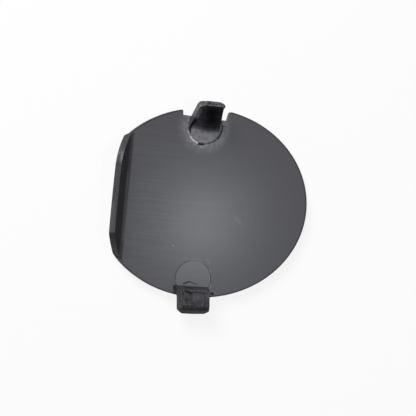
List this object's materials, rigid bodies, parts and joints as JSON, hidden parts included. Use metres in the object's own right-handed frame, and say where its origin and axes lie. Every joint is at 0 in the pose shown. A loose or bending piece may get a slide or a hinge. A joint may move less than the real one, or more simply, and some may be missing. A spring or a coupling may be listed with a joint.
{
  "type": "bumper tow hook cover",
  "caption": "Oval moulded cover for a bumper's towing eye opening, with one side folded back, a bent snap tab and a locating tongue on its back.",
  "frame": {"origin": "bottom centre of the bounding box, under the dished plate as it lies on its front", "axes": "+Z to the back of the cover, where the tab and tongue stand, +Y toward the notched end with the snap tab, -X toward the folded side"},
  "size_m": [0.0834, 0.0856, 0.0178],
  "materials": {
    "moulded_plastic": "satin"
  },
  "bodies": {
    "root": {"tow_hook_cover": "moulded_plastic"}
  },
  "joints": []
}
